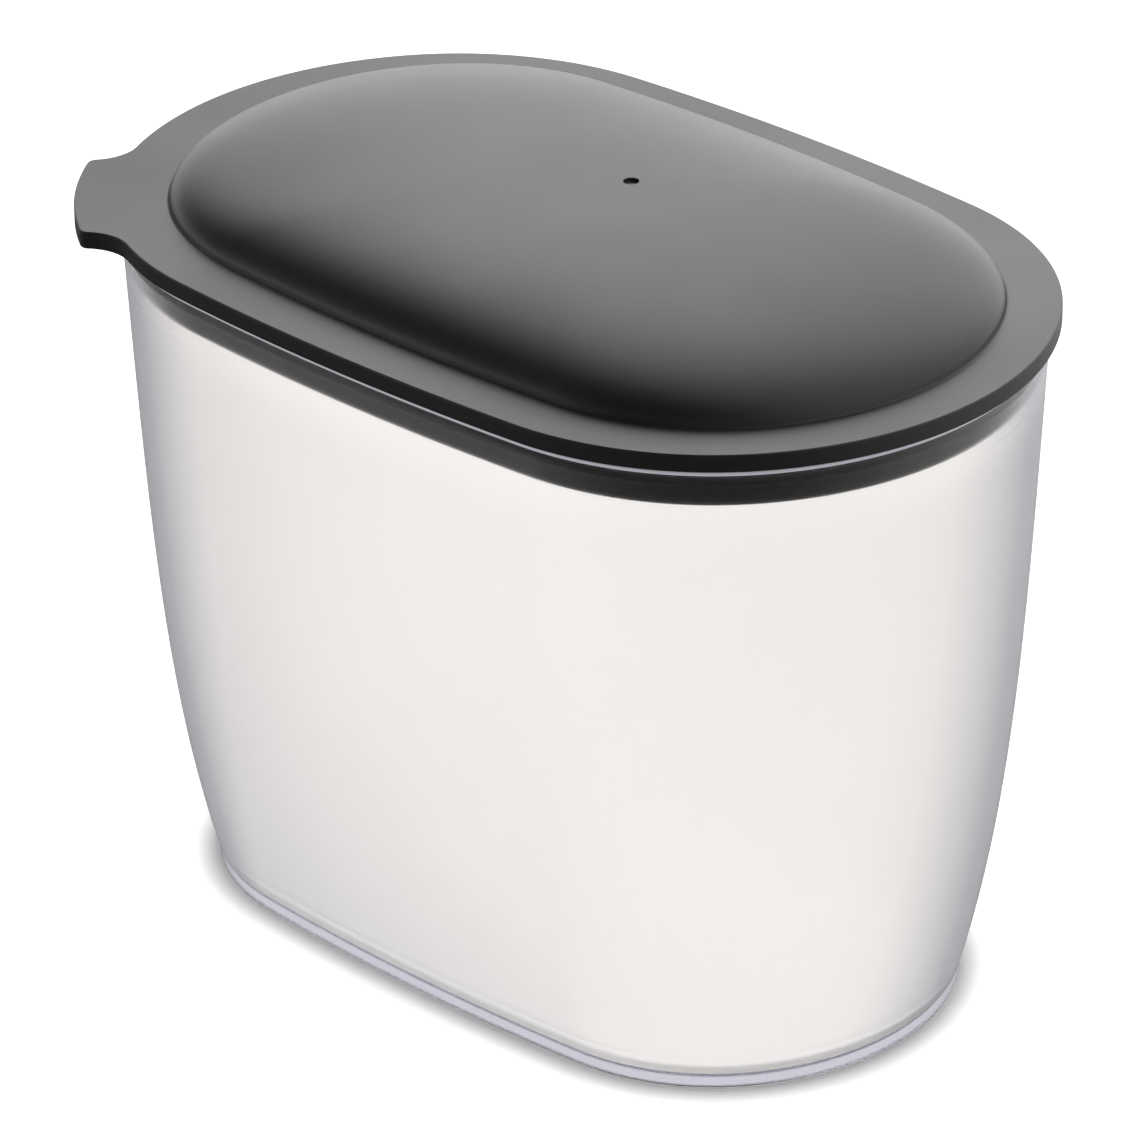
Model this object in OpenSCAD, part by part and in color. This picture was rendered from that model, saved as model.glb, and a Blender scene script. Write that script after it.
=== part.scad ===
/* [Overall] */
// Length of the lid along X, over its oval flange
lid_l = 250; // [220:2:320]
// Width of the lid along Y, over its oval flange
lid_w = 164; // [140:2:200]
// Height of the container without its lid
tub_h = 178.8; // [120:0.1:260]

/* [Container] */
// Thickness of the wall
wall = 2.4; // [1.8:0.1:3]
// Thickness of the floor
floor_t = 2.6; // [1.8:0.1:4]
// Straight draft of the wall, inwards from rim to foot
draft = 9; // [4:0.1:14]
// Extra inward sweep of the lower wall
belly = 10.4; // [2:0.1:12]
// Radius between the floor and the inside of the wall
floor_fillet = 6; // [3:0.5:12]

/* [Container foot] */
// Depth of the recess under the floor, inside the foot ring
foot_recess = 2.2; // [1:0.1:4]
// Width of the foot ring
foot_w = 3.4; // [2.6:0.1:4.4]
// Radius on the bottom edges of the foot ring
foot_round = 0.8; // [0.3:0.1:1.2]
// Height of the polished band round the foot
foot_band_h = 4.4; // [3:0.1:8]
// Step between the polished foot band and the frosted wall
foot_step = 0.25; // [0.1:0.05:0.5]

/* [Container rim] */
// Radius on the top edges of the rim
rim_round = 0.6; // [0.3:0.05:0.8]
// How far the rim bead stands out from the wall
bead_out = 0.5; // [0.2:0.05:0.6]
// Height of the rim bead
bead_h = 1.6; // [1:0.1:2.4]
// Gap between the rim bead and the lid's lip above it
bead_gap = 0.9; // [0.4:0.1:2]

/* [Lid flange] */
// Thickness of the flange plate
plate_t = 2.4; // [1.6:0.1:3.2]
// How far the outer lip hangs below the flange plate
lip_drop = 2.1; // [1:0.1:3.4]
// Thickness of the outer lip
lip_t = 1.8; // [1.2:0.1:2.2]
// Gap between the outer lip and the container's rim
lip_gap = 0.7; // [0.65:0.05:1.2]
// Radius on the outer edges of the flange
edge_round = 0.4; // [0.2:0.05:0.5]

/* [Lid skirt] */
// Thickness of the inner skirt
skirt_t = 1.8; // [1.2:0.1:2.4]
// Depth of the inner skirt below the flange plate
skirt_drop = 13.3; // [8:0.1:24]
// Gap between the skirt and the inside of the container
skirt_gap = 0.45; // [0.35:0.05:0.8]
// Lead-in bevel at the bottom of the skirt
skirt_lead = 0.7; // [0.3:0.1:1]

/* [Lid dome] */
// Width of the flat flange between its edge and the dome
flange_w = 13.3; // [12:0.1:20]
// Rise of the dome above the flange
dome_h = 16; // [8:0.5:24]
// Width of the curved shoulder of the dome
shoulder_w = 57; // [20:1:60]
// Thickness of the dome
dome_t = 2; // [1.4:0.1:2.6]

/* [Lid gate recess] */
// Distance of the moulding gate recess from the middle of the lid
gate_offset = 12.6; // [6:0.1:16]
// Direction of the gate recess, from the +X axis
gate_dir = 44; // [0:1:359]
// Diameter of the gate recess
gate_d = 3.7; // [2:0.1:6]
// Depth of the gate recess
gate_depth = 0.9; // [0.4:0.1:1.2]

/* [Lid tab] */
// How far the peel tab stands out from the flange
tab_reach = 8.5; // [7:0.5:14]
// Direction of the tab from the centre of the oval's corner arc, from the +X axis
tab_dir = 224; // [210:1:245]
// Half angle between the centres of the tab's outer corners
tab_half = 13.4; // [8:0.1:16]
// Radius of the hollow curves at the sides of the tab
tab_fillet = 12; // [6:0.5:16]
// Radius of the tab's outer corners
tab_corner = 2.4; // [2.4:0.1:4]

/* [Hidden] */
$fn = 240;
// The flat sides are arcs of a large circle, which needs more facets
side_fn = 4 * $fn;
// Sides of each small round, of the wall and of the dome's shoulder
arc_steps = 6;
wall_steps = 18;
dome_steps = 16;
// How far joined solids run into each other
bite = 1;

// The oval is eight arcs: two ends of tip_r, four corners of corner_r and two
// flatter sides of side_r, each tangent to the next. The line between a tip's
// centre and a corner's runs 4 along and 3 across
half_l = lid_l / 2;
half_w = lid_w / 2;
tip_extra = 2;
side_bulge = 2;
tip_r = half_w + tip_extra;
corner_r = half_w - 1.5 * tip_extra - 2.5 * side_bulge;
tip_x = half_l - tip_r;
corner_x = tip_x + 0.8 * (tip_r - corner_r);
corner_y = 0.6 * (tip_r - corner_r);
side_run = (corner_x * corner_x + side_bulge * side_bulge) / (2 * side_bulge);
side_r = corner_r + side_run;
side_y = side_r - half_w;
// Seams are drawn out to this many times their own length
far = 4;

// Offsets are measured inwards from the flange's edge
rim_in = lip_t + lip_gap;
foot_in = rim_in + draft + belly + foot_step;
skirt_in = rim_in + wall + skirt_gap;
shoulder_run = min(shoulder_w, corner_r - flange_w - 2 * bite);
middle_in = tip_r + bite;

// Heights above the surface the container stands on
floor_z = foot_recess + floor_t;
flange_z = tub_h + plate_t;
lip_z = tub_h - lip_drop;
skirt_z = tub_h - skirt_drop;
bead_z = lip_z - bead_gap - bead_h / 2;
top_z = flange_z + dome_h;

// Offset of the container's outer wall at height z, and its lean from upright
function wall_in(z) = rim_in + draft * (1 - z / tub_h) + belly * pow(1 - z / tub_h, 4);
function wall_lean(z) = atan((draft + 4 * belly * pow(1 - z / tub_h, 3)) / tub_h);
// A point at distance r and angle a
function polar(r, a) = r * [cos(a), sin(a)];
// Points of a round edge about point p, between two angles
function arc(p, r, from, to) = [
    for (i = [0 : arc_steps]) p + polar(r, from + (to - from) * i / arc_steps)];
// Height of an elliptical shoulder w wide and h high, at distance u from its foot
function rise(u, w, h) = h * sqrt(1 - pow(1 - min(u, w) / w, 2));
// Points up that shoulder from its foot, closer together where it is steep
function shoulder(foot_x, w, h) = [
    for (i = [0 : dome_steps])
        let (u = w * (1 - cos(90 * i / dome_steps)))
        [foot_x + u, flange_z + rise(u, w, h)]];
function reversed(list) = [for (i = [len(list) - 1 : -1 : 0]) list[i]];

// The parts of the plane that the arcs lie in: the seams between them run
// through the centres of both arcs, where the arcs meet without a corner
seam_x = corner_x * (1 + far);
seam_y = corner_y + far * (side_run - side_bulge);
module tip_region() {
    polygon([[tip_x, 0], [tip_x + 240, -180], [tip_x + 240, 180]]);
}
module corner_region(s) {
    polygon([[corner_x, s * corner_y], [corner_x + 240, s * (corner_y + 180)], [seam_x, s * seam_y]]);
}
module side_region() {
    polygon([[-tip_x, 0], [tip_x, 0], [corner_x, corner_y], [seam_x, seam_y],
        [-seam_x, seam_y], [-corner_x, corner_y]]);
}

// Carries a section round the oval and in to its middle: the section's x is the
// offset from the flange's edge, its y the height. Each arc is swept through a half
// turn, then cut off at the seams.
module end_arc(x, y, r) {
    translate([x, y, 0]) rotate(-90)
        rotate_extrude(angle = 180)
            intersection() {
                translate([r, 0]) mirror([1, 0]) children();
                square([r, top_z]);
            }
}
module sweep() {
    for (turn = [0, 180])
        rotate(turn) {
            intersection() {
                end_arc(tip_x, 0, tip_r) children();
                linear_extrude(2 * top_z) tip_region();
            }
            for (s = [-1, 1])
                intersection() {
                    end_arc(corner_x, s * corner_y, corner_r) children();
                    linear_extrude(2 * top_z) corner_region(s);
                }
            intersection() {
                translate([0, -side_y, 0])
                    rotate_extrude(angle = 180, $fn = side_fn)
                        translate([side_r, 0]) mirror([1, 0]) children();
                linear_extrude(2 * top_z) side_region();
            }
        }
}

// Where the floor's inner fillet leaves the wall, and its centre
lean = wall_lean(floor_z + floor_fillet);
fillet_z = floor_z + floor_fillet * (1 - sin(lean));
fillet_in = wall_in(fillet_z) + wall + floor_fillet * cos(lean);

// Outer side of the wall, from the foot band up to the rim's edge
function wall_outside() = [
    for (i = [0 : wall_steps])
        let (z = foot_band_h + (bead_z - bead_h / 2 - foot_band_h) * i / wall_steps)
        [wall_in(z), z]];
function rim_outside() = concat(
    [for (i = [1 : arc_steps])
        let (z = bead_z - bead_h / 2 * cos(180 * i / arc_steps))
        [wall_in(z) - bead_out * sin(180 * i / arc_steps), z]],
    arc([rim_in + rim_round, tub_h - rim_round], rim_round, 180, 90));
// Inner side of the wall, from the rim down to the floor
function wall_inside() = concat(
    arc([rim_in + wall - rim_round, tub_h - rim_round], rim_round, 90, 0),
    [for (i = [1 : wall_steps - 1])
        let (z = tub_h + (fillet_z - tub_h) * i / wall_steps)
        [wall_in(z) + wall, z]],
    arc([fillet_in, floor_z + floor_fillet], floor_fillet, 180 + lean, 270));
// Foot ring, from the recess round to the top of the foot band
function foot() = concat(
    [[foot_in + foot_w, foot_recess]],
    arc([foot_in + foot_w - foot_round, foot_round], foot_round, 0, -90),
    arc([foot_in + foot_round, foot_round], foot_round, 270, 180),
    [[wall_in(foot_band_h) + foot_step, foot_band_h]]);

// The container: one thin-walled moulding with a foot ring and a beaded rim
module container() {
    color([0.92, 0.93, 0.96, 0.55])
        sweep()
            polygon(concat(foot(), wall_outside(), rim_outside(), wall_inside(),
                [[middle_in, floor_z], [middle_in, foot_recess]]));
}

// Section of the lid from its outer lip to the top of the dome's shoulder
module lid_section() {
    inner_w = shoulder_run - dome_t;
    skirt_foot = skirt_in + wall_in(skirt_z) - rim_in;
    polygon(concat(
        arc([edge_round, lip_z + edge_round], edge_round, 270, 180),
        arc([edge_round, flange_z - edge_round], edge_round, 180, 90),
        shoulder(flange_w, shoulder_run, dome_h),
        [[middle_in, top_z], [middle_in, top_z - dome_t]],
        reversed(shoulder(flange_w + dome_t, inner_w, dome_h - dome_t)),
        [[flange_w + dome_t, tub_h],
         [skirt_in + skirt_t, tub_h],
         [skirt_foot + skirt_t, skirt_z],
         [skirt_foot + skirt_lead, skirt_z],
         [skirt_foot, skirt_z + 2 * skirt_lead],
         [skirt_in, tub_h],
         [lip_t, tub_h],
         [lip_t, lip_z]]));
}

// The peel tab as a plane shape about the centre of the corner arc, pointing along +X
module tab_plan(inset) {
    out_r = corner_r + tab_reach;
    round_r = out_r - tab_corner;
    hollow_r = corner_r + tab_fillet;
    touch = tab_fillet + tab_corner;
    spread = acos((hollow_r * hollow_r + round_r * round_r - touch * touch) / (2 * hollow_r * round_r));
    intersection() {
        circle(r = out_r - inset);
        polygon([[0, 0], polar(2 * out_r, -tab_half), polar(2 * out_r, tab_half)]);
    }
    for (s = [-1, 1]) {
        corner = polar(round_r, s * tab_half);
        hollow = polar(hollow_r, s * (tab_half + spread));
        translate(corner) circle(r = tab_corner - inset, $fn = 48);
        difference() {
            polygon([[0, 0], [round_r - tab_corner, 0], corner, hollow]);
            translate(hollow) circle(r = tab_fillet + inset);
        }
    }
}

// The tab: the flange plate runs out into it, with the outer lip round its edge
module tab() {
    translate([-corner_x, -corner_y, 0]) rotate(tab_dir) {
        translate([0, 0, tub_h])
            linear_extrude(plate_t)
                difference() {
                    tab_plan(0);
                    circle(r = corner_r - bite);
                }
        translate([0, 0, lip_z])
            linear_extrude(lip_drop + bite)
                difference() {
                    tab_plan(0);
                    tab_plan(lip_t);
                    circle(r = corner_r - bite);
                }
    }
}

// The lid: one moulding with a flange, outer lip, skirt, dome and peel tab
module lid() {
    gate = polar(gate_offset, gate_dir);
    gate_z = flange_z + rise(half_w - abs(gate[1]) - flange_w, shoulder_run, dome_h) - gate_depth;
    color([0.13, 0.13, 0.14])
        difference() {
            union() {
                sweep() lid_section();
                tab();
            }
            translate([gate[0], gate[1], gate_z])
                cylinder(d = gate_d, h = dome_t, $fn = 48);
        }
}

container();
lid();
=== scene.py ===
import bpy, bmesh, math
import numpy as np
from mathutils import Matrix, Vector


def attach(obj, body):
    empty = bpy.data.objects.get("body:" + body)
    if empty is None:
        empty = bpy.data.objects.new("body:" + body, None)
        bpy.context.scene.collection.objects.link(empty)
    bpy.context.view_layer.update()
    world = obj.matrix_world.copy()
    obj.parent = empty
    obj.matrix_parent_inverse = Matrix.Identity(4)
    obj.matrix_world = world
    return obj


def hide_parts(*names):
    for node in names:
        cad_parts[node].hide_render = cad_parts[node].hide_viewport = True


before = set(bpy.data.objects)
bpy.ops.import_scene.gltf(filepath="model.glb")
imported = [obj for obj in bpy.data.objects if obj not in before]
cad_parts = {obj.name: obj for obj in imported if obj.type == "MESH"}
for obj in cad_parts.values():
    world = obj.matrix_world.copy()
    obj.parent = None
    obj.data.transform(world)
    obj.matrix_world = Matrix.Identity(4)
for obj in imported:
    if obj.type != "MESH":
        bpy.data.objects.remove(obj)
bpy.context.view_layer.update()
print("frame loaded:", sorted(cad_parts))

# The oval in plan and the heights that both pieces share, in metres. Two end arcs, four
# corner arcs and two flat side arcs meet tangentially at the two seam angles.
oval = {
    "endRadius": 0.084, "endX": 0.041,
    "cornerRadius": 0.074, "cornerX": 0.049, "cornerY": 0.006,
    "sideRadius": 0.67525, "sideY": 0.59325,
    "step": 0.00125,  # spacing of the points along the outline
    "hold": 0.0001,  # unit of spacing of the rows that hold an edge crisp
    "tubTop": 0.1788, "rimInset": 0.0025, "draft": 0.009, "belly": 0.0104,
}


def spread(start, end, length, step):
    # Angles from start up to, not including, end, as many as the arc length needs
    count = max(3, int(math.ceil(length / step)))
    return start + (end - start) * np.arange(count) / count


def arcRun(cx, cy, radius, start, end):
    # Points centre + radius * (cos a, sin a), with (cos a, sin a) as their outward directions
    a = spread(start, end, abs(end - start) * radius, oval["step"])
    out = np.stack([np.cos(a), np.sin(a)], 1)
    return np.array([cx, cy]) + radius * out, out


def seamAngles():
    # Where end and corner arcs meet and where corner and side arcs meet, as directions from +X
    o = oval
    low = math.atan2(o["cornerY"], o["cornerX"] - o["endX"])
    high = math.atan2(o["cornerY"] + o["sideY"], o["cornerX"])
    return low, high


def ovalArcs():
    # The nine arcs anticlockwise from the +X tip, as (centre x, centre y, radius, first angle, last angle)
    o = oval
    low, high = seamAngles()
    pi, e, c, s = math.pi, o["endRadius"], o["cornerRadius"], o["sideRadius"]
    ex, cx, cy, sy = o["endX"], o["cornerX"], o["cornerY"], o["sideY"]
    return [
        (ex, 0, e, 0, low), (cx, cy, c, low, high), (0, -sy, s, high, pi - high),
        (-cx, cy, c, pi - high, pi - low), (-ex, 0, e, pi - low, pi + low),
        (-cx, -cy, c, pi + low, pi + high), (0, sy, s, pi + high, 2 * pi - high),
        (cx, -cy, c, 2 * pi - high, 2 * pi - low), (ex, 0, e, 2 * pi - low, 2 * pi),
    ]


def plainOutline():
    # The oval as points and outward directions; an inset of d is point - d * direction on every arc
    runs = [arcRun(*arc) for arc in ovalArcs()]
    return np.concatenate([r[0] for r in runs]), np.concatenate([r[1] for r in runs])


def wallInset(z):
    # Inset of the container's outer wall at height z: straight draft plus a fourth-power belly
    s = 1 - np.asarray(z) / oval["tubTop"]
    return oval["rimInset"] + oval["draft"] * s + oval["belly"] * s ** 4


def corner(cx, cz, r, start, end, steps=6):
    # Rows on a rounded edge in the section: (inset, height) = centre + r * (cos a, sin a), a in degrees
    a = np.radians(np.linspace(start, end, steps + 1))
    return np.stack([cx + r * np.cos(a), cz + r * np.sin(a)], 1)


def sweepRows(rows):
    # rows: list of (points, height) rings of equal length; returns vertices and the quads between rings
    count = len(rows[0][0])
    verts = np.concatenate([np.column_stack([p, np.broadcast_to(z, count)]) for p, z in rows])
    i = np.arange(count)
    j = (i + 1) % count
    base = np.arange(len(rows) - 1)[:, None] * count
    quads = np.stack([base + i, base + j, base + j + count, base + i + count], -1).reshape(-1, 4)
    return verts, quads


def makePiece(name, verts, quads, caps, body, nodeName, materials, quadMaterial):
    # A mesh from whole arrays; caps are rings of vertex numbers, each ring or pair of rings filled flat.
    # quadMaterial gives each quad its place in the list of materials; caps take the first
    mesh = bpy.data.meshes.new(name)
    mesh.vertices.add(len(verts))
    mesh.vertices.foreach_set("co", np.ascontiguousarray(verts, np.float32).ravel())
    mesh.loops.add(quads.size)
    mesh.loops.foreach_set("vertex_index", quads.astype(np.int32).ravel())
    mesh.polygons.add(len(quads))
    mesh.polygons.foreach_set("loop_start", np.arange(0, quads.size, 4, dtype=np.int32))
    mesh.update(calc_edges=True)
    bm = bmesh.new()
    bm.from_mesh(mesh)
    bm.verts.ensure_lookup_table()
    for cap in caps:
        edges = []
        for ring in cap:
            for a, b in zip(ring, np.roll(ring, -1)):
                va, vb = bm.verts[int(a)], bm.verts[int(b)]
                edges.append(bm.edges.get((va, vb)) or bm.edges.new((va, vb)))
        bmesh.ops.triangle_fill(bm, use_beauty=True, use_dissolve=False, edges=edges)
    bmesh.ops.recalc_face_normals(bm, faces=bm.faces)
    bm.to_mesh(mesh)
    bm.free()
    mesh.polygons.foreach_set("use_smooth", np.ones(len(mesh.polygons), bool))
    for material in materials:
        mesh.materials.append(material)
    faceMaterial = np.zeros(len(mesh.polygons), np.int32)
    faceMaterial[:len(quads)] = quadMaterial
    mesh.polygons.foreach_set("material_index", faceMaterial)
    piece = bpy.data.objects.new(name, mesh)
    bpy.context.scene.collection.objects.link(piece)
    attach(piece, body)
    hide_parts(nodeName)
    print(name, "faces", len(mesh.polygons))
    return piece


def newGroup(name, inputs, outputs):
    # A shader node group with float inputs (name, default) and outputs (name, socket type)
    group = bpy.data.node_groups.new(name, "ShaderNodeTree")
    for label, value in inputs:
        group.interface.new_socket(label, in_out="INPUT", socket_type="NodeSocketFloat").default_value = value
    for label, kind in outputs:
        group.interface.new_socket(label, in_out="OUTPUT", socket_type=kind)
    nodes = group.nodes
    return group, nodes.new("NodeGroupInput"), nodes.new("NodeGroupOutput")


def addNode(tree, kind, **values):
    # A node with some of its sockets set by name
    node = tree.nodes.new(kind)
    for label, value in values.items():
        node.inputs[label].default_value = value
    return node


def mathNode(tree, operation, a, b, clamp=False):
    # A Math node; a and b are each a socket or a number
    node = tree.nodes.new("ShaderNodeMath")
    node.operation = operation
    node.use_clamp = clamp
    for slot, value in zip(node.inputs, (a, b)):
        if isinstance(value, (int, float)):
            slot.default_value = value
        else:
            tree.links.new(value, slot)
    return node.outputs[0]


# Mould texture: how much coarser the broad grain is, the mean height, the cloud's scale and usual range
grainForm = {"broadRatio": 0.23, "mean": 0.65, "cloudScale": 14.0, "cloudFrom": 0.3, "cloudTo": 0.7}


def buildMouldGrain():
    # Spark-eroded mould texture: fine grain plus a softer, broader unevenness, as a height about 0, and
    # a slow cloud for drifts in finish
    outputs = [("Height", "NodeSocketFloat"), ("Cloud", "NodeSocketFloat")]
    group, source, result = newGroup("mouldGrain", [("Scale", 1500.0), ("Broad Share", 0.3)], outputs)
    coords = group.nodes.new("ShaderNodeTexCoord")
    fine = addNode(group, "ShaderNodeTexNoise", Detail=2.0, Roughness=0.6)
    broad = addNode(group, "ShaderNodeTexNoise", Detail=2.0, Roughness=0.5)
    cloud = addNode(group, "ShaderNodeTexNoise", Scale=grainForm["cloudScale"], Detail=3.0, Roughness=0.5)
    for node in (fine, broad, cloud):
        group.links.new(coords.outputs["Object"], node.inputs["Vector"])
    group.links.new(source.outputs["Scale"], fine.inputs["Scale"])
    broadScale = mathNode(group, "MULTIPLY", source.outputs["Scale"], grainForm["broadRatio"])
    group.links.new(broadScale, broad.inputs["Scale"])
    low = mathNode(group, "MULTIPLY", broad.outputs["Fac"], source.outputs["Broad Share"])
    total = mathNode(group, "ADD", fine.outputs["Fac"], low)
    group.links.new(mathNode(group, "SUBTRACT", total, grainForm["mean"]), result.inputs["Height"])
    group.links.new(cloud.outputs["Fac"], result.inputs["Cloud"])
    return group


mouldGrain = buildMouldGrain()


def newMaterial(name):
    # An empty material with its output and a Principled BSDF already joined
    material = bpy.data.materials.new(name)
    material.use_nodes = True
    tree = material.node_tree
    tree.nodes.clear()
    out = tree.nodes.new("ShaderNodeOutputMaterial")
    shader = tree.nodes.new("ShaderNodeBsdfPrincipled")
    tree.links.new(shader.outputs["BSDF"], out.inputs["Surface"])
    return material, tree, shader


def ranged(tree, value, low, high, fromLow=0.0, fromHigh=1.0):
    # Map Range: value from fromLow..fromHigh to low..high, clamped
    ends = {"From Min": fromLow, "From Max": fromHigh, "To Min": low, "To Max": high}
    node = addNode(tree, "ShaderNodeMapRange", **ends)
    tree.links.new(value, node.inputs["Value"])
    return node.outputs["Result"]


def mixColours(tree, factor, a, b):
    # A colour Mix node; a and b are each a socket or a colour
    node = tree.nodes.new("ShaderNodeMix")
    node.data_type = "RGBA"
    tree.links.new(factor, node.inputs["Factor"])
    for label, value in (("A", a), ("B", b)):
        if isinstance(value, tuple):
            node.inputs[label].default_value = value
        else:
            tree.links.new(value, node.inputs[label])
    return node.outputs["Result"]


# Frosted wall: clear plastic whose outer face is spark-eroded between two polished bands. Its own faint
# lavender shows where light runs a long way in it: at grazing angles, in the foot band and in the rim; the
# dark lines at the foot band's edges are painted shade, the clear and pale ones near its bottom painted
# highlights
frostedFinish = {
    "clear": (1.0, 0.984, 0.974, 1.0), "grazing": (0.48, 0.472, 0.54, 1.0),
    "thick": (0.165, 0.175, 0.32, 1.0), "ior": 1.40,
    "grazingFrom": 0.43, "grazingTo": 0.75,  # from facing to edge-on, where the grazing colour comes in
    "frostRoughness": 0.45, "unevenness": 0.03, "polishRoughness": 0.06,
    "grainScale": 1500.0, "grainHeight": 0.00004, "broadShare": 0.5,
}


def attributeNode(tree, name):
    # The value a piece's points carry under this name
    node = tree.nodes.new("ShaderNodeAttribute")
    node.attribute_name = name
    return node.outputs["Fac"]


def grained(tree, finish):
    # The mould grain at a finish's own scale
    grain = tree.nodes.new("ShaderNodeGroup")
    grain.node_tree = mouldGrain
    grain.inputs["Scale"].default_value = finish["grainScale"]
    grain.inputs["Broad Share"].default_value = finish["broadShare"]
    return grain


def drifting(tree, grain, middle, swing):
    # A value about the middle that follows the grain's cloud by the swing either way
    ends = grainForm["cloudFrom"], grainForm["cloudTo"]
    return ranged(tree, grain.outputs["Cloud"], middle - swing, middle + swing, *ends)


def frostedPlastic():
    f = frostedFinish
    material, tree, shader = newMaterial("frostedPlastic")
    grain = grained(tree, f)
    frost = attributeNode(tree, "frost")  # 1 on the eroded face, 0 on polished ones
    cloudy = drifting(tree, grain, f["frostRoughness"], f["unevenness"])
    rough = tree.nodes.new("ShaderNodeMix")
    tree.links.new(frost, rough.inputs["Factor"])
    rough.inputs["A"].default_value = f["polishRoughness"]
    tree.links.new(cloudy, rough.inputs["B"])
    tree.links.new(rough.outputs["Result"], shader.inputs["Roughness"])
    bump = addNode(tree, "ShaderNodeBump", Distance=f["grainHeight"])
    tree.links.new(mathNode(tree, "MULTIPLY", grain.outputs["Height"], frost), bump.inputs["Height"])
    tree.links.new(bump.outputs["Normal"], shader.inputs["Normal"])
    slant = addNode(tree, "ShaderNodeLayerWeight", Blend=0.5)
    grazing = ranged(tree, slant.outputs["Facing"], 0.0, 1.0, f["grazingFrom"], f["grazingTo"])
    side = tree.nodes.new("ShaderNodeNewGeometry")
    # Both tints only where light enters: the grazing one on the eroded face, the thick one on bands
    eroded = mathNode(tree, "GREATER_THAN", frost, 0.1)
    outside = mathNode(tree, "SUBTRACT", eroded, side.outputs["Backfacing"], True)
    # This attribute also carries painted shade and highlight lines at the foot band's edges
    tintAndPaintedLines = mathNode(tree, "SUBTRACT", attributeNode(tree, "tintAndPaintedLines"), side.outputs["Backfacing"], True)
    wall = mixColours(tree, mathNode(tree, "MULTIPLY", grazing, outside), f["clear"], f["grazing"])
    colour = mixColours(tree, tintAndPaintedLines, wall, f["thick"])
    tree.links.new(colour, shader.inputs["Base Color"])
    shader.inputs["IOR"].default_value = f["ior"]
    shader.inputs["Transmission Weight"].default_value = 1.0
    return material


# Bead under the lid: the polished edge that the wall's light comes out of; an opaque pale colour paints that
# light on it as a highlight line
beadHighlightFinish = {
    "pale": (0.80, 0.80, 0.86, 1.0), "deep": (0.70, 0.70, 0.78, 1.0), "roughness": 0.15, "ior": 1.49,
}


# The bead's pale rows: an opaque colour that stands in for light leaving the wall, a painted highlight
def paintedBeadHighlight():
    f = beadHighlightFinish
    material, tree, shader = newMaterial("paintedBeadHighlight")
    grain = grained(tree, frostedFinish)
    colour = mixColours(tree, grain.outputs["Cloud"], f["pale"], f["deep"])
    tree.links.new(colour, shader.inputs["Base Color"])
    shader.inputs["Roughness"].default_value = f["roughness"]
    shader.inputs["IOR"].default_value = f["ior"]
    return material


# Lid: near-black satin plastic with the fine grain of an eroded mould
satinFinish = {
    "dark": (0.005, 0.005, 0.0052, 1.0), "light": (0.0065, 0.0065, 0.0068, 1.0),
    "roughness": 0.44, "unevenness": 0.03, "ior": 1.5,
    "grainScale": 2600.0, "grainHeight": 0.00002, "broadShare": 0.6,
    "outsideSpecular": 0.5, "skirtShadeSpecular": 0.12,  # the skirt lies close to the wall and hardly shines: its lowered gloss is painted shade
}


def satinBlack(name, specular):
    f = satinFinish
    material, tree, shader = newMaterial(name)
    grain = grained(tree, f)
    rough = drifting(tree, grain, f["roughness"], f["unevenness"])
    tree.links.new(rough, shader.inputs["Roughness"])
    colour = mixColours(tree, grain.outputs["Cloud"], f["dark"], f["light"])
    tree.links.new(colour, shader.inputs["Base Color"])
    bump = addNode(tree, "ShaderNodeBump", Distance=f["grainHeight"])
    tree.links.new(grain.outputs["Height"], bump.inputs["Height"])
    tree.links.new(bump.outputs["Normal"], shader.inputs["Normal"])
    shader.inputs["IOR"].default_value = f["ior"]
    shader.inputs["Specular IOR Level"].default_value = specular
    return material


# Container section, in metres; insets are measured inwards from the lid's outline
tub = {
    "wall": 0.0024, "floorLow": 0.0022, "floorTop": 0.0048, "filletRadius": 0.006, "recessRound": 0.0004,
    "outerRows": 48, "innerRows": 36, "beadRows": 13,
    "footWidth": 0.0034, "footRound": 0.0008, "bandTop": 0.0044, "bandStep": 0.00025, "bandDraft": 0.0002,
    "rimRound": 0.0006, "beadMiddle": 0.175, "beadHeight": 0.0016, "beadOut": 0.0005,
    "frostTop": 0.1722, "frostFade": 0.0002,
    # Finer frost where the lid's skirt lies behind it, from the body's own at a lower height
    "skirtFrost": 0.45, "skirtEdge": 0.1655, "bodyFrost": 0.155,
    # Height on the foot band and how much of the plastic's own colour shows there; the lines at its edges are
    # painted: dark ones for shade at the step on top and just above the foot's round, clear and pale ones
    # near the bottom for highlights
    "footTintShadeAndHighlight": [(0.0, 0.4), (0.0003, 0.0), (0.0004, 0.0), (0.0006, 1.0), (0.0008, 1.0), (0.0009, 0.2),
                  (0.0012, 0.2), (0.0014, 0.75), (0.0038, 0.75), (0.0040, 0.95), (0.0045, 0.95)],
    "underFrost": 0.7, "underRows": 6,  # the recess under the floor is eroded too: the section's first rows
    # The same share on the rim, and where the bead takes its painted highlight: above the first height, and a
    # line at its foot
    "rimDepth": 0.3, "beadHighlightFrom": 0.1747, "beadHighlightLine": (0.1741, 0.1743),
}


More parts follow.
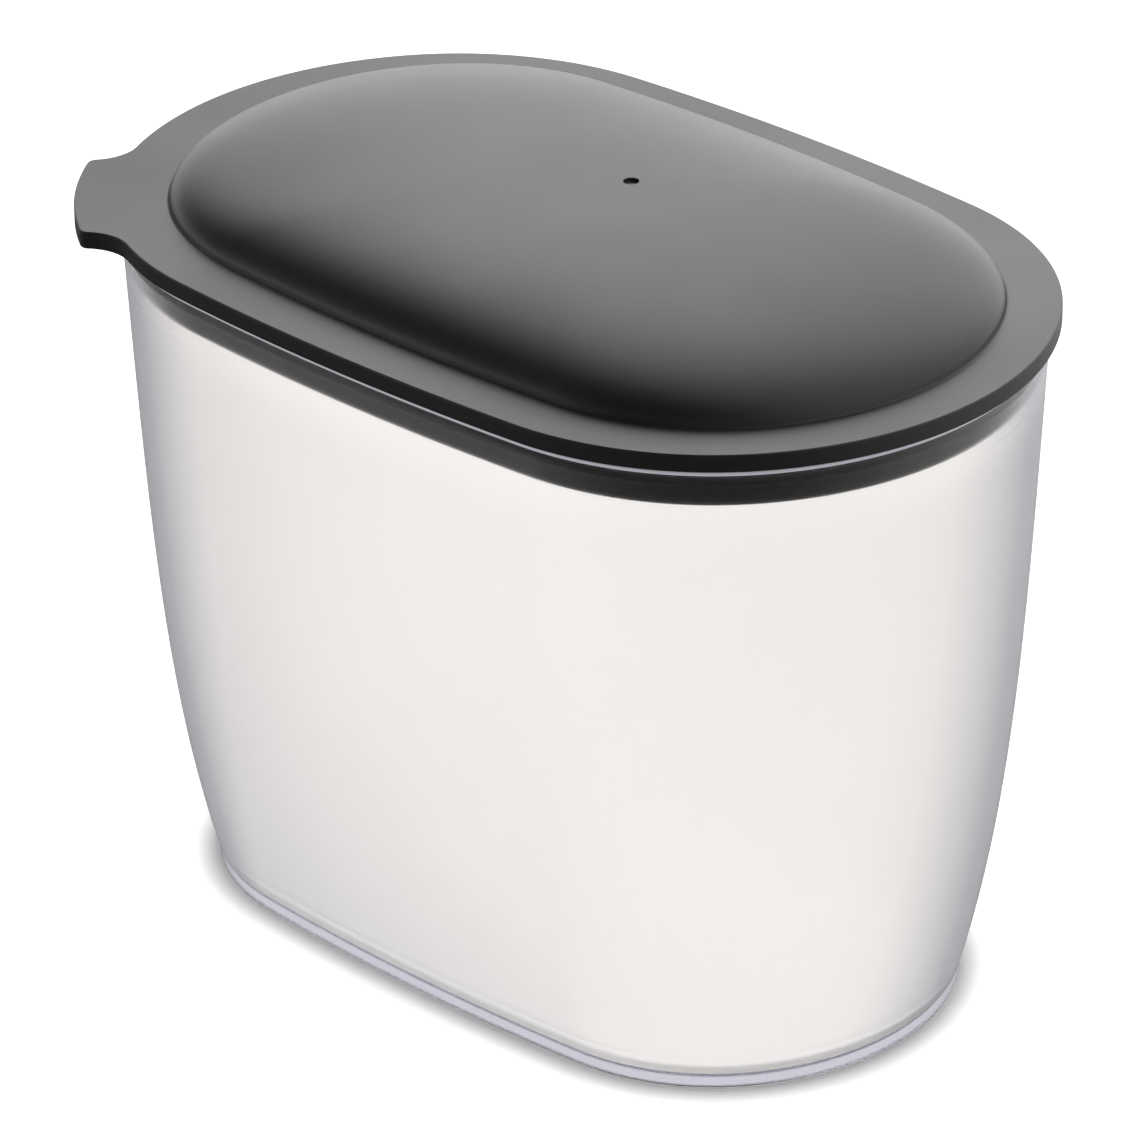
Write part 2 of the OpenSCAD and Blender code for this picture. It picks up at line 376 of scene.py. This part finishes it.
def containerSection():
    # The section as (inset, height) rows from the recess under the floor, out round the foot, up the outer
    # wall, over the rim, down the inner wall and in along the floor
    t = tub
    top, w, h = oval["tubTop"], t["wall"], oval["hold"]
    r, b, g = t["footRound"], t["bandTop"], t["recessRound"]
    low = float(wallInset(b))
    foot = low + t["bandStep"] + t["bandDraft"]
    inner = foot + t["footWidth"]
    rows = [[[inner + 4 * g, t["floorLow"]], [inner + g + h, t["floorLow"]]],
            corner(inner + g, t["floorLow"] - g, g, 90, 180, 4),
            corner(inner - r, r, r, 0, -90), [[foot + r + 6 * h, 0.0]], corner(foot + r, r, r, 270, 180)]
    z = np.array([height for height, tone in t["footTintShadeAndHighlight"] if r + h < height < b - 2 * h])
    rows.append(np.stack([foot + (low + t["bandStep"] - foot) * (z - r) / (b - r), z], 1))
    rows.append(corner(low + h, b - h, h, 200, 100, 2) + [t["bandStep"], 0])
    z = np.linspace(b + h, t["beadMiddle"] - t["beadHeight"] / 2, t["outerRows"])
    z = np.sort(np.concatenate([z, [b + 4 * h, t["frostTop"] - t["frostFade"], t["frostTop"]]]))
    rows.append(np.stack([wallInset(z), z], 1))
    a = np.radians(np.linspace(0, 180, t["beadRows"]))[1:-1]
    z = t["beadMiddle"] - t["beadHeight"] / 2 * np.cos(a)
    rows.append(np.stack([wallInset(z) - t["beadOut"] * np.sin(a), z], 1))
    z = np.linspace(t["beadMiddle"] + t["beadHeight"] / 2, top - t["rimRound"] - 2 * h, 5)
    rows.append(np.stack([wallInset(z), z], 1))
    e, q = oval["rimInset"], t["rimRound"]
    rows.append(corner(e + q, top - q, q, 180, 90))
    rows.append([[e + w / 2, top]])
    rows.append(corner(e + w - q, top - q, q, 90, 0))
    # The inner wall ends where it is tangent to the fillet, at the lean it has there
    f = t["filletRadius"]
    s = 1 - (t["floorTop"] + f) / top
    lean = math.atan((oval["draft"] + 4 * oval["belly"] * s ** 3) / top)
    meet = t["floorTop"] + f * (1 - math.sin(lean))
    z = np.linspace(top - q - 4 * h, meet + 5 * h, t["innerRows"])
    rows.append(np.stack([wallInset(z) + w, z], 1))
    centre = float(wallInset(meet)) + w + f * math.cos(lean)
    rows.append(corner(centre, t["floorTop"] + f, f, 180 + math.degrees(lean), 270, 12))
    rows.append([[centre + 10 * h, t["floorTop"]], [centre + 40 * h, t["floorTop"]]])
    return np.concatenate([np.asarray(part, float) for part in rows])


def buildContainer():
    t, h = tub, oval["hold"]
    points, out = plainOutline()
    section = containerSection()
    inset, z = section[:, 0], section[:, 1]
    rings = [(points - i * out, height) for i, height in section]
    verts, quads = sweepRows(rings)
    count, last = len(points), len(section) - 1
    caps = [[np.arange(count)], [last * count + np.arange(count)]]
    # The bead's rows stand proud of the wall's line; its upper part and a line at its foot take the pale bead
    # colour, a painted highlight where light leaves the wall
    proud = (inset < wallInset(z) - 1e-6) & (np.abs(z - t["beadMiddle"]) < t["beadHeight"] / 2)
    middle = (z[:-1] + z[1:]) / 2
    bright = (middle > t["beadHighlightFrom"]) | ((middle > t["beadHighlightLine"][0]) & (middle < t["beadHighlightLine"][1]))
    onBeadHighlight = np.repeat(((proud[:-1] | proud[1:]) & bright).astype(np.int32), count)
    piece = makePiece("tub", verts, quads, caps, "container", "container",
                      [frostedPlastic(), paintedBeadHighlight()], onBeadHighlight)
    # Frosting: on the outer face only, from the foot band up to an edge below the bead, and under the floor
    outer = np.abs(inset - wallInset(z)) < 1e-5
    outer &= (z > t["bandTop"] + h / 2) & (z < t["frostTop"] + h / 2)
    fine = np.interp(z, [t["bodyFrost"], t["skirtEdge"]], [1.0, t["skirtFrost"]])
    frost = np.where(outer, fine * np.clip((t["frostTop"] - z) / t["frostFade"], 0, 1), 0.0)
    frost[:t["underRows"]] = t["underFrost"]
    heights, tones = zip(*t["footTintShadeAndHighlight"])
    # The foot band's tones: the plastic's own deeper colour, with painted shade and highlight lines at its
    # edges
    onBand = (z < t["bandTop"] + 2 * h) & (inset < wallInset(0) + t["footWidth"] / 2)
    tintAndPaintedLines = np.where(onBand, np.interp(z, heights, tones), np.where(z > t["frostTop"], t["rimDepth"], 0.0))
    for name, rows in (("frost", frost), ("tintAndPaintedLines", tintAndPaintedLines)):
        layer = piece.data.attributes.new(name, "FLOAT", "POINT")
        layer.data.foreach_set("value", np.repeat(rows, count).astype(np.float32))
    return piece


# Lid section, in metres; the lip follows the outline with the peel tab, the rest the plain oval
lidForm = {
    "plate": 0.0024, "lipDrop": 0.0021, "lipWidth": 0.0018, "edgeRound": 0.0004,
    "skirtInset": 0.00535, "skirtWidth": 0.0018, "skirtDrop": 0.0133, "skirtLead": 0.0007,
    "flange": 0.0138, "domeRise": 0.016, "domeShrink": 0.8, "domeMiddle": (0.0009, 0.0),
    "domeThickness": 0.002, "creaseRound": 0.0005,
    "seat": 0.00003,  # hair gap over the rim
    "flangeRow": 0.0022,  # where the flange's rows leave the outline with the tab for the plain oval
    "domeRows": 44, "underDomeRows": 24,
    "gateReach": 0.0126, "gateDirection": 44.0, "gateRadius": 0.00185, "gateDepth": 0.0009,
}
# Peel tab, from the centre of the oval's corner arc: reach past the arc, direction and half width in
# degrees, radius of the hollow arcs at its sides and of its round corners
tab = {"reach": 0.0085, "direction": 224.0, "halfAngle": 13.4, "hollow": 0.012, "corner": 0.0024}


def tabRun():
    # The peel tab about the centre of its corner arc: hollow arc, round corner, outer arc, round corner
    # and hollow arc, as points and outward directions
    base = oval["cornerRadius"]
    outR, roundR, hollowR = base + tab["reach"], base + tab["reach"] - tab["corner"], base + tab["hollow"]
    touch = tab["hollow"] + tab["corner"]
    half = math.radians(tab["halfAngle"])
    wide = half + math.acos((hollowR ** 2 + roundR ** 2 - touch ** 2) / (2 * hollowR * roundR))
    k = roundR * np.array([math.cos(half), -math.sin(half)])
    h = hollowR * np.array([math.cos(wide), -math.sin(wide)])
    toCorner = math.atan2(k[1] - h[1], k[0] - h[0])
    a = np.linspace(math.pi - wide, toCorner, 26)[:-1]
    d = np.stack([np.cos(a), np.sin(a)], 1)
    first = (h + tab["hollow"] * d, -d)
    a = np.linspace(toCorner - math.pi, -half, 14)[:-1]
    d = np.stack([np.cos(a), np.sin(a)], 1)
    second = (k + tab["corner"] * d, d)
    a = np.linspace(-half, 0, 17)
    d = np.stack([np.cos(a), np.sin(a)], 1)
    third = (outR * d, d)
    points = np.concatenate([first[0], second[0], third[0]])
    out = np.concatenate([first[1], second[1], third[1]])
    flip = np.array([1, -1])
    points = np.concatenate([points, (points * flip)[-2::-1]])
    out = np.concatenate([out, (out * flip)[-2::-1]])
    return points, out


def lidOutlines():
    # The plain oval (points, directions) and the outline with the tab (points, directions), matched
    # point by point: tab points belong to the oval point at the same angle about the corner's centre
    o = oval
    local, localOut = tabRun()
    turn = math.radians(tab["direction"])
    spin = np.array([[math.cos(turn), math.sin(turn)], [-math.sin(turn), math.cos(turn)]])
    local, localOut = local @ spin, localOut @ spin
    middle = np.array([-o["cornerX"], -o["cornerY"]])
    angle = np.arctan2(local[:, 1], local[:, 0]) % (2 * math.pi)
    d = np.stack([np.cos(angle), np.sin(angle)], 1)
    toEnd = np.array([o["cornerX"] - o["endX"], o["cornerY"]])
    along = d @ toEnd
    reachEnd = along + np.sqrt(along ** 2 - toEnd @ toEnd + o["endRadius"] ** 2)
    onEnd = angle < math.pi + seamAngles()[0]
    radius = np.where(onEnd, reachEnd, o["cornerRadius"])
    basePoint = middle + radius[:, None] * d
    endOut = (basePoint - np.array([-o["endX"], 0])) / o["endRadius"]
    baseOut = np.where(onEnd[:, None], endOut, d)
    outerPoint = middle + local + (radius - o["cornerRadius"])[:, None] * d
    startPoint = basePoint[0]
    startAngle = math.atan2(startPoint[1], startPoint[0] + o["endX"]) % (2 * math.pi)
    arcs = ovalArcs()
    before = arcs[:4] + [arcs[4][:4] + (startAngle,)]
    after = [arcs[5][:3] + (float(angle[-1]), arcs[5][4])] + arcs[6:]
    runsA, runsB = [arcRun(*a) for a in before], [arcRun(*a) for a in after]
    lead, leadOut = np.concatenate([r[0] for r in runsA]), np.concatenate([r[1] for r in runsA])
    tail, tailOut = np.concatenate([r[0] for r in runsB]), np.concatenate([r[1] for r in runsB])
    tail, tailOut = tail[1:], tailOut[1:]  # the tab's last point is the first of the tail
    plain = (np.concatenate([lead, basePoint, tail]), np.concatenate([leadOut, baseOut, tailOut]))
    tabbed = (np.concatenate([lead, outerPoint, tail]), np.concatenate([leadOut, localOut, tailOut]))
    return plain, tabbed


def domeRows(foot, rise, ground, lift, steps):
    # Rows down the dome as (inset, height, scale): the oval at its foot shrinks towards its middle by
    # shrink * (1 - cos t) while the height is ground + rise * sin t
    t = np.linspace(math.pi / 2, math.asin(min(1.0, lift / rise)), steps)
    scale = 1 - lidForm["domeShrink"] * (1 - np.cos(t))
    return np.stack([np.full(steps, foot), ground + rise * np.sin(t), scale], 1)


def lidRows():
    # The section from the dome's top, down the shoulder, over the flange, round the lip, under the
    # plate, round the skirt and up under the dome, as (inset, height, scale, mark). Rows marked plain
    # follow the plain oval, tabbed ones the outline with the tab, domed ones the oval about the dome's
    # middle
    f = lidForm
    ground = oval["tubTop"] + f["plate"]
    under = oval["tubTop"] + f["seat"]
    low = oval["tubTop"] - f["lipDrop"]
    e, c, w, h = f["edgeRound"], f["creaseRound"], f["lipWidth"], oval["hold"]
    plain, tabbed, domed = 0, 1, 2
    parts = []

    def put(mark, rows):
        rows = np.asarray(rows, float)
        if rows.shape[1] == 2:
            rows = np.column_stack([rows, np.ones(len(rows))])
        parts.append(np.column_stack([rows, np.full(len(rows), mark)]))

    put(domed, domeRows(f["flange"], f["domeRise"], ground, c, f["domeRows"]))
    put(domed, corner(f["flange"] - c, ground + c, c, -8, -90, 6))
    put(domed, [[f["flange"] - c - 4 * h, ground]])
    put(plain, [[f["flangeRow"], ground]])
    put(tabbed, [[e + 5 * h, ground], [e + h, ground]])
    put(tabbed, corner(e, ground - e, e, 90, 180, 6))
    put(tabbed, [[0, ground - e - 2 * h], [0, (ground + low) / 2], [0, low + e + 2 * h]])
    put(tabbed, corner(e, low + e, e, 180, 270, 5))
    put(tabbed, [[e + h, low], [w - 3 * h, low]])
    put(tabbed, corner(w - 2 * h, low + 2 * h, 2 * h, 270, 360, 3))
    put(tabbed, [[w, under - 4 * h], [w + h, under - h], [w + 3 * h, under]])
    s, t, drop = f["skirtInset"], f["skirtWidth"], oval["tubTop"] - f["skirtDrop"]
    foot = s + float(wallInset(drop)) - oval["rimInset"]
    put(plain, [[s - 5 * h, under], [s - h, under], [s, under - 3 * h]])
    rise = np.linspace(0, 1, 6)[1:-1]
    put(plain, np.stack([s + (foot - s) * rise, under + (drop + 2 * f["skirtLead"] - under) * rise], 1))
    put(plain, [[foot, drop + 2 * f["skirtLead"]], [foot + f["skirtLead"], drop], [foot + t - 2 * h, drop],
                [foot + t, drop + 2 * h], [foot + t - 0.2 * (foot - s), drop + 30 * h],
                [s + t, under - 4 * h], [s + t + 2 * h, under]])
    d = f["domeThickness"]
    put(domed, [[f["flange"] + d - 6 * h, under], [f["flange"] + d, under + 6 * h]])
    put(domed, domeRows(f["flange"] + d, f["domeRise"] - d, ground, 2 * h, f["underDomeRows"])[::-1])
    return np.concatenate(parts)


def buildLid():
    f, h = lidForm, oval["hold"]
    plain, tabbed = lidOutlines()
    section = lidRows()
    bases = [(plain, 0), (tabbed, 0), (plain, np.array(f["domeMiddle"]))]  # outline and middle for each mark
    rings = []
    for inset, z, scale, mark in section:
        (points, out), middle = bases[int(mark)]
        rings.append((middle + scale * (points - inset * out), z))
    verts, quads = sweepRows(rings)
    count, last = len(plain[0]), len(section) - 1
    # Gate recess in the flat top: a small blind hole with a softened edge, as (radius, height) rows
    around = 64
    a = 2 * math.pi * np.arange(around) / around
    ringDir = np.stack([np.cos(a), np.sin(a)], 1)
    g = math.radians(f["gateDirection"])
    centre = f["gateReach"] * np.array([math.cos(g), math.sin(g)])
    top = oval["tubTop"] + f["plate"] + f["domeRise"]
    gr, gd = f["gateRadius"], f["gateDepth"]
    gate = [(gr + 3.5 * h, 0), (gr + 2 * h, 0), (gr + 0.8 * h, -0.3 * h), (gr, -1.4 * h), (gr, -4 * h),
            (gr, -gd + 2 * h), (gr - 0.6 * h, -gd + 0.5 * h), (gr - 2 * h, -gd), (gr - 6 * h, -gd)]
    gateVerts, gateQuads = sweepRows([(centre + r * ringDir, top + z) for r, z in gate])
    start = len(verts)
    verts = np.concatenate([verts, gateVerts])
    quads = np.concatenate([quads, gateQuads + start])
    floorRing = start + (len(gate) - 1) * around + np.arange(around)
    caps = [[np.arange(count), start + np.arange(around)], [floorRing], [last * count + np.arange(count)]]
    # The skirt, below the rim: the second finish, a copy of the satin with less gloss as painted shade
    hidden = (section[:, 0] > f["skirtInset"] - 6 * h) & (section[:, 1] < oval["tubTop"] + h)
    rowsMaterial = (hidden[:-1] & hidden[1:]).astype(np.int32)
    quadMaterial = np.concatenate([np.repeat(rowsMaterial, count), np.zeros(len(gateQuads), np.int32)])
    finishes = [satinBlack("satinBlack", satinFinish["outsideSpecular"]),
                satinBlack("satinSkirtShaded", satinFinish["skirtShadeSpecular"])]
    return makePiece("cover", verts, quads, caps, "lid", "lid", finishes, quadMaterial)


buildContainer()
buildLid()

# Studio: white floor and surroundings, a broad soft light behind and above, a faint one low at the left
studio = {
    "floorSize": 4.0, "floorHeight": -0.00002, "floorColour": (0.9, 0.9, 0.905, 1.0),
    # The camera's lift of the floor fades by ambient occlusion near the foot: a painted contact shadow
    "openLift": 0.66, "contactWidth": 0.009, "shadeFrom": 0.45, "shadeTo": 0.92,
    "surroundings": 0.64,
    # Soft lights that only gloss sees, each as (level, direction, sharpness): a box high at the left, the
    # bright half of the room behind, a low glow along the horizon, and two faint low boxes in front
    "softBoxes": [(4.4, (-0.633, 0.446, 0.633), 29.0), (1.32, (0.326, 0.945, -0.028), 0.2),
                  (6.2, (-0.100, 0.035, -0.994), 0.36),
                  (0.35, (-0.68, -0.69, 0.25), 8.0), (0.35, (0.68, -0.69, 0.25), 8.0)],
    # Where the floor turns from white to a painted dark area, for gloss and for light that turned inside the
    # wall: along axis, in metres
    "glossDarkLine": {"axis": (-0.2, -0.98, 0.0), "from": -0.6, "to": 0.1},
    "innerDarkLine": {"axis": (0.69, -0.72, 0.0), "from": 0.16, "to": 0.36}, "beyondLevel": 0.12,
    "backLight": {"from": (-0.57, 1.52, 1.0), "size": (1.6, 1.2), "power": 8.0},
    "leftLight": {"from": (-1.2, -1.5, 0.35), "size": (0.8, 0.6), "power": 1.2},
    "aim": (0.0, 0.0, 0.12),  # what both lights face
}
view = {
    "azimuth": 43.779, "elevation": 28.028, "roll": -0.5545, "distance": 1.739755,
    "target": (0.008014, -0.012075, 0.1), "far": 20.0,
    "focalPixels": 7183.14, "imageSide": 1142, "sensor": 36.0,
}


def placeLight(name, spec):
    # An area lamp at a point, facing the upper middle of the bin
    lamp = bpy.data.lights.new(name, "AREA")
    lamp.shape = "RECTANGLE"
    lamp.size, lamp.size_y = spec["size"]
    lamp.energy = spec["power"]
    holder = bpy.data.objects.new(name, lamp)
    bpy.context.scene.collection.objects.link(holder)
    holder.location = spec["from"]
    facing = Vector(studio["aim"]) - Vector(spec["from"])
    holder.rotation_euler = facing.to_track_quat("-Z", "Y").to_euler()
    return holder


def pastTheWall(tree, path):
    # 1 for a ray that has gone right through the plastic: over more than two faces, or over two without
    # turning back between them. 0 for one that only turned back inside the wall
    twoWalls = mathNode(tree, "GREATER_THAN", path.outputs["Transmission Depth"], 2.5)
    straight = mathNode(tree, "LESS_THAN", path.outputs["Glossy Depth"], 0.5)
    return mathNode(tree, "MAXIMUM", twoWalls, straight)


def darkBeyondLine(tree, place, end):
    # White up to a line across the floor, fading to the level beyond it: a painted dark area that only
    # reflections and light turned inside the wall see
    along = tree.nodes.new("ShaderNodeVectorMath")
    along.operation = "DOT_PRODUCT"
    along.inputs[1].default_value = end["axis"]
    tree.links.new(place.outputs["Object"], along.inputs[0])
    return ranged(tree, along.outputs["Value"], 1.0, studio["beyondLevel"], end["from"], end["to"])


def buildFloor():
    # A flat sheet just under the foot. The camera sees it lifted to white, except close to the foot, where
    # the lift fades with
    # ambient occlusion: a painted contact shadow on top of the bin's real shadow; gloss and plastic show it
    # plain white as far as a line across it, with a painted dark area beyond
    half = studio["floorSize"] / 2
    mesh = bpy.data.meshes.new("studioFloor")
    z = studio["floorHeight"]
    corners = [(-half, -half, z), (half, -half, z), (half, half, z), (-half, half, z)]
    mesh.from_pydata(corners, [], [(0, 1, 2, 3)])
    floor = bpy.data.objects.new("studioFloor", mesh)
    bpy.context.scene.collection.objects.link(floor)
    material = bpy.data.materials.new("studioWhite")
    material.use_nodes = True
    tree = material.node_tree
    tree.nodes.clear()
    out = tree.nodes.new("ShaderNodeOutputMaterial")
    matt = addNode(tree, "ShaderNodeBsdfDiffuse", Color=studio["floorColour"])
    glow = tree.nodes.new("ShaderNodeEmission")
    path = tree.nodes.new("ShaderNodeLightPath")
    # Painted contact shadow: the camera's glow drops where ambient occlusion finds the foot close by
    openness = addNode(tree, "ShaderNodeAmbientOcclusion", Distance=studio["contactWidth"])
    s = studio
    lift = ranged(tree, openness.outputs["AO"], 0.0, s["openLift"], s["shadeFrom"], s["shadeTo"])
    tree.links.new(mathNode(tree, "MULTIPLY", path.outputs["Is Camera Ray"], lift), glow.inputs["Strength"])
    both = tree.nodes.new("ShaderNodeAddShader")
    tree.links.new(matt.outputs[0], both.inputs[0])
    tree.links.new(glow.outputs[0], both.inputs[1])
    # Light that has gone right through the plastic sees white everywhere
    place = tree.nodes.new("ShaderNodeTexCoord")
    glossLevel, innerLevel = (darkBeyondLine(tree, place, studio[end]) for end in ("glossDarkLine", "innerDarkLine"))
    through = mathNode(tree, "MAXIMUM", pastTheWall(tree, path), innerLevel)
    level = tree.nodes.new("ShaderNodeMix")
    tree.links.new(path.outputs["Is Transmission Ray"], level.inputs["Factor"])
    tree.links.new(glossLevel, level.inputs["A"])
    tree.links.new(through, level.inputs["B"])
    white = tree.nodes.new("ShaderNodeEmission")
    tree.links.new(level.outputs["Result"], white.inputs["Strength"])
    shown = tree.nodes.new("ShaderNodeMixShader")
    away = mathNode(tree, "MAXIMUM", path.outputs["Is Transmission Ray"], path.outputs["Is Glossy Ray"])
    tree.links.new(away, shown.inputs[0])
    tree.links.new(both.outputs[0], shown.inputs[1])
    tree.links.new(white.outputs[0], shown.inputs[2])
    tree.links.new(shown.outputs[0], out.inputs["Surface"])
    mesh.materials.append(material)
    return floor


def buildWorld():
    # Even light from the surroundings; in reflections soft boxes, each level * (cosine from its middle) to
    # the power sharpness; plain white where seen directly or through the plastic
    world = bpy.data.worlds.new("studioWorld")
    bpy.context.scene.world = world
    world.use_nodes = True
    tree = world.node_tree
    tree.nodes.clear()
    out = tree.nodes.new("ShaderNodeOutputWorld")
    coords = tree.nodes.new("ShaderNodeTexCoord")
    gloss = 0.0
    for level, direction, sharpness in studio["softBoxes"]:
        facing = tree.nodes.new("ShaderNodeVectorMath")
        facing.operation = "DOT_PRODUCT"
        facing.inputs[1].default_value = direction
        tree.links.new(coords.outputs["Generated"], facing.inputs[0])
        cosine = mathNode(tree, "MAXIMUM", facing.outputs["Value"], 0.0)
        lobe = mathNode(tree, "MULTIPLY", mathNode(tree, "POWER", cosine, sharpness), level)
        gloss = mathNode(tree, "ADD", lobe, gloss)
    path = tree.nodes.new("ShaderNodeLightPath")

    def choose(flag, a, b):
        # b where the ray is of this kind, else a; each a socket or a number
        node = tree.nodes.new("ShaderNodeMix")
        tree.links.new(path.outputs[flag], node.inputs["Factor"])
        for slot, value in ((node.inputs["A"], a), (node.inputs["B"], b)):
            if isinstance(value, float):
                slot.default_value = value
            else:
                tree.links.new(value, slot)
        return node.outputs["Result"]

    level = choose("Is Glossy Ray", studio["surroundings"], gloss)
    level = choose("Is Transmission Ray", level, 1.0)
    level = choose("Is Camera Ray", level, 1.0)
    sky = addNode(tree, "ShaderNodeBackground", Color=(1.0, 1.0, 1.0, 1.0))
    tree.links.new(level, sky.inputs["Strength"])
    tree.links.new(sky.outputs[0], out.inputs["Surface"])


def buildCamera():
    # Stands off the target along azimuth and elevation, rolled a little about the line of sight
    v = view
    az, el, roll = (math.radians(v[k]) for k in ("azimuth", "elevation", "roll"))
    back = Vector((math.cos(el) * math.sin(az), -math.cos(el) * math.cos(az), math.sin(el)))
    right = Vector((math.cos(az), math.sin(az), 0))
    up = back.cross(right)
    right, up = right * math.cos(roll) + up * math.sin(roll), up * math.cos(roll) - right * math.sin(roll)
    camera = bpy.data.cameras.new("studioCamera")
    camera.sensor_width = v["sensor"]
    camera.lens = v["focalPixels"] / v["imageSide"] * v["sensor"]
    camera.clip_end = v["far"]
    holder = bpy.data.objects.new("studioCamera", camera)
    bpy.context.scene.collection.objects.link(holder)
    turn = Matrix((right, up, back)).transposed().to_4x4()
    holder.matrix_world = Matrix.Translation(Vector(v["target"]) + v["distance"] * back) @ turn
    bpy.context.scene.camera = holder


buildFloor()
buildWorld()
for name in ("backLight", "leftLight"):
    placeLight(name, studio[name])
buildCamera()
bpy.context.scene.view_settings.view_transform = "Standard"
paths = bpy.context.scene.cycles  # light runs along inside the clear walls, so it may turn often
paths.max_bounces, paths.glossy_bounces, paths.transmission_bounces = 32, 16, 24
print("studio ready")
